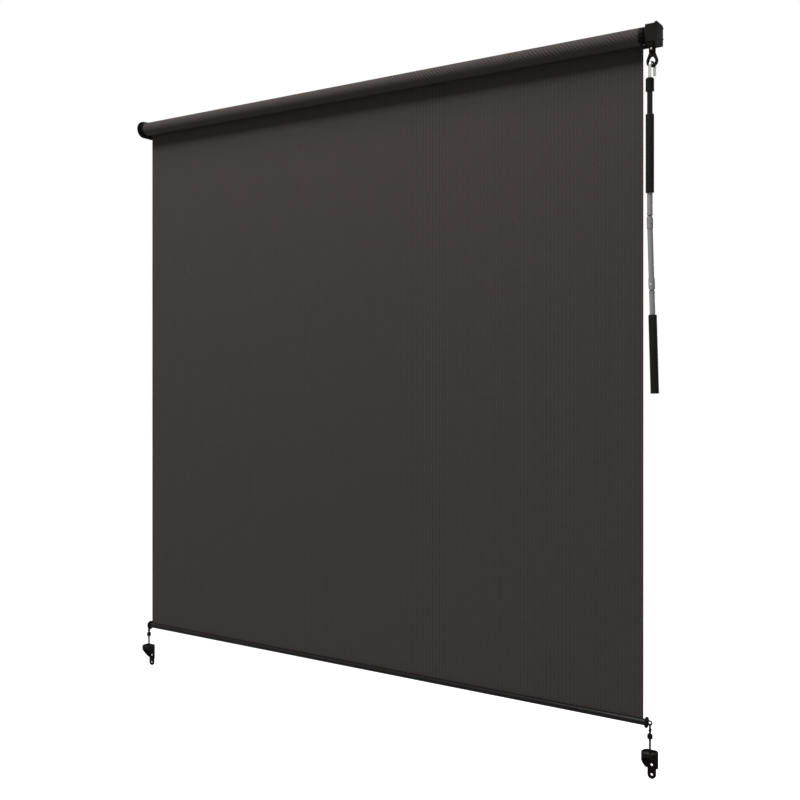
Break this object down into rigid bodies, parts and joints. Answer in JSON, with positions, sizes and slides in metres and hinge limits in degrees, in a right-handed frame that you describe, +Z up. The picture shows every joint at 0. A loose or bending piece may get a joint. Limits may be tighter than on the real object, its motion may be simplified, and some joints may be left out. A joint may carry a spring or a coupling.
{
  "type": "outdoor roller blind",
  "caption": "Wall-hung roller blind: a woven screen winds on a tube turned by a worm gear and a folding hand crank, and a weighted hem bar is tied down by elastic cords.",
  "frame": {"origin": "on the wall, at the centre of the four wall screws, midway between the brackets and level with the roller axis", "axes": "+X along the roller to the drive end, +Y into the wall, +Z up"},
  "size_m": [1.9261, 0.0752, 1.9677],
  "materials": {
    "fabric": "dark brown-grey woven sun screen",
    "tube_aluminium": "mill finish",
    "black_moulding": "black moulded, satin",
    "grip_moulding": "black moulded, smooth",
    "grey_tube": "grey powder coat",
    "black_tube": "black powder coat",
    "elbow_moulding": "grey moulded, satin",
    "steel": "zinc plated",
    "black_wire": "black coated wire",
    "bronze": "machined bronze",
    "bush_nylon": "natural nylon",
    "hem_metal": "black powder coat, satin",
    "spline_plastic": "black extruded rod",
    "cord_elastic": "black braided elastic"
  },
  "bodies": {
    "wall_frame": {"idle_bracket": "black_moulding", "idle_bush": "bush_nylon", "drive_bracket": "black_moulding", "gear_housing": "black_moulding", "gear_cover": "black_moulding", "cover_screws": "steel", "housing_screws": "steel", "wheel_bush_inner": "bush_nylon", "wheel_bush_outer": "bush_nylon", "worm_bush": "bush_nylon", "fabric_sheet": "fabric"},
    "roller": {"roller_tube": "tube_aluminium", "fabric_roll": "fabric", "idle_cap": "black_moulding", "idle_pin": "steel", "drive_cap": "black_moulding", "drive_shaft": "steel", "worm_wheel": "bronze"},
    "eye": {"worm_shaft": "steel", "crank_eye": "black_moulding", "eye_pin": "steel"},
    "crank": {"crank_hook": "steel", "hook_ferrule": "black_moulding", "upper_tube": "black_tube", "tube_joiner": "steel", "lower_tube": "grey_tube", "upper_elbow_tongue": "elbow_moulding"},
    "upper_sleeve": {"upper_grip": "grip_moulding"},
    "arm": {"upper_elbow_fork": "elbow_moulding", "upper_elbow_pin": "steel", "arm_tube": "grey_tube", "lower_elbow_fork": "elbow_moulding", "lower_elbow_pin": "steel"},
    "handle": {"lower_elbow_tongue": "elbow_moulding", "handle_tube": "grey_tube", "handle_plug": "black_moulding"},
    "lower_sleeve": {"lower_grip": "grip_moulding"},
    "hem": {"hem_bar": "hem_metal", "hem_spline": "spline_plastic", "hem_plug_left": "black_moulding", "hem_plug_right": "black_moulding"},
    "tie_down_left": {"tie_staple_left": "black_wire", "tie_bead_left": "black_moulding", "tie_cord_left": "cord_elastic", "tie_bracket_left": "black_moulding"},
    "tie_down_right": {"tie_staple_right": "black_wire", "tie_bead_right": "black_moulding", "tie_cord_right": "cord_elastic", "tie_bracket_right": "black_moulding"}
  },
  "joints": [
    {"name": "roller_turn", "type": "hinge", "parent": "wall_frame", "child": "roller", "pos_m": [0, -0.039, 0], "axis": [1, 0, 0], "continuous": true},
    {"name": "eye_turn", "type": "hinge", "parent": "wall_frame", "child": "eye", "pos_m": [0.9518, -0.055, 0], "axis": [0, 0, 1], "continuous": true},
    {"name": "crank_swing", "type": "hinge", "parent": "eye", "child": "crank", "pos_m": [0.9518, -0.055, -0.0852], "axis": [1, 0, 0], "range_deg": [-60, 0]},
    {"name": "upper_grip_turn", "type": "hinge", "parent": "crank", "child": "upper_sleeve", "pos_m": [0.94852, -0.06402, -0.313], "axis": [0, 0, 1], "continuous": true},
    {"name": "upper_elbow", "type": "hinge", "parent": "crank", "child": "arm", "pos_m": [0.94852, -0.06402, -0.4884], "axis": [0, -1, 0], "range_deg": [0, 90]},
    {"name": "lower_elbow", "type": "hinge", "parent": "arm", "child": "handle", "pos_m": [0.95325, -0.06402, -0.64773], "axis": [0, 1, 0], "range_deg": [0, 90]},
    {"name": "lower_grip_turn", "type": "hinge", "parent": "handle", "child": "lower_sleeve", "pos_m": [0.95325, -0.06402, -0.64773], "axis": [-0.0297, 0, 0.9996], "continuous": true},
    {"name": "hem_lift", "type": "slide", "parent": "wall_frame", "child": "hem", "axis": [0, 0, 1], "range_m": [0, 1.722], "deforming": ["fabric_sheet"]},
    {"name": "tie_swing_left", "type": "hinge", "parent": "hem", "child": "tie_down_left", "pos_m": [-0.932, -0.01565, -1.7885], "axis": [0, 1, 0], "range_deg": [-12, 60]},
    {"name": "tie_swing_right", "type": "hinge", "parent": "hem", "child": "tie_down_right", "pos_m": [0.932, -0.01565, -1.7885], "axis": [0, -1, 0], "range_deg": [-12, 60]}
  ],
  "couplings": [
    {"joint": "eye_turn", "follows": "roller_turn", "ratio": 7}
  ]
}
